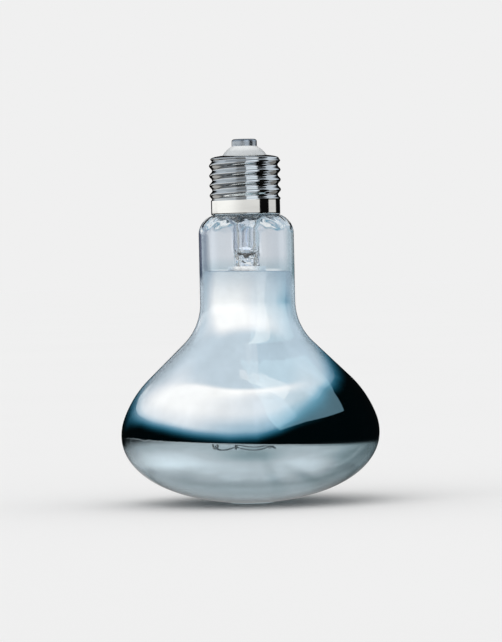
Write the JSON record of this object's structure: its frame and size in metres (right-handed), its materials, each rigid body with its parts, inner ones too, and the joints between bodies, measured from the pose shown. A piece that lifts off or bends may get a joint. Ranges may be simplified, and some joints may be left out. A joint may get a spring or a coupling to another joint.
{
  "type": "uv basking bulb",
  "caption": "Reflector bulb with a satin domed face, mirrored bowl, clear neck and screw cap, made to warm and light a basking place.",
  "frame": {"origin": "middle of the domed face, the lowest point, on the bulb's axis", "axes": "+Z along the bulb's axis from the face to the centre contact, -Y towards the viewer of the picture"},
  "size_m": [0.095, 0.095, 0.1337],
  "materials": {
    "clear_glass": "clear neck, satin face",
    "mirror_film": "vacuum-coated aluminium film behind glass",
    "nickel_plate": "bright nickel plate on rolled sheet",
    "cement": "baked cement",
    "white_insulator": "glossy white moulding",
    "contact_metal": "pressed plated metal",
    "solder": "smooth tin solder",
    "stem_glass": "clear fire-polished glass",
    "lead_wire": "drawn nickel wire",
    "shield_sheet": "bright pressed sheet",
    "support_metal": "drawn molybdenum wire",
    "filament_wire": "coiled tungsten wire"
  },
  "bodies": {
    "root": {"glass_envelope": "clear_glass", "mirror_coating": "mirror_film", "screw_shell": "nickel_plate", "basing_cement": "cement", "cap_insulator": "white_insulator", "centre_contact": "contact_metal", "contact_solder": "solder", "side_solder": "solder", "stem": "stem_glass", "exhaust_tube": "stem_glass", "arbor": "stem_glass", "centre_lead": "lead_wire", "side_lead": "lead_wire", "heat_shield": "shield_sheet", "filament": "filament_wire", "support_wire_1": "support_metal", "support_wire_2": "support_metal", "support_wire_3": "support_metal"}
  },
  "joints": []
}
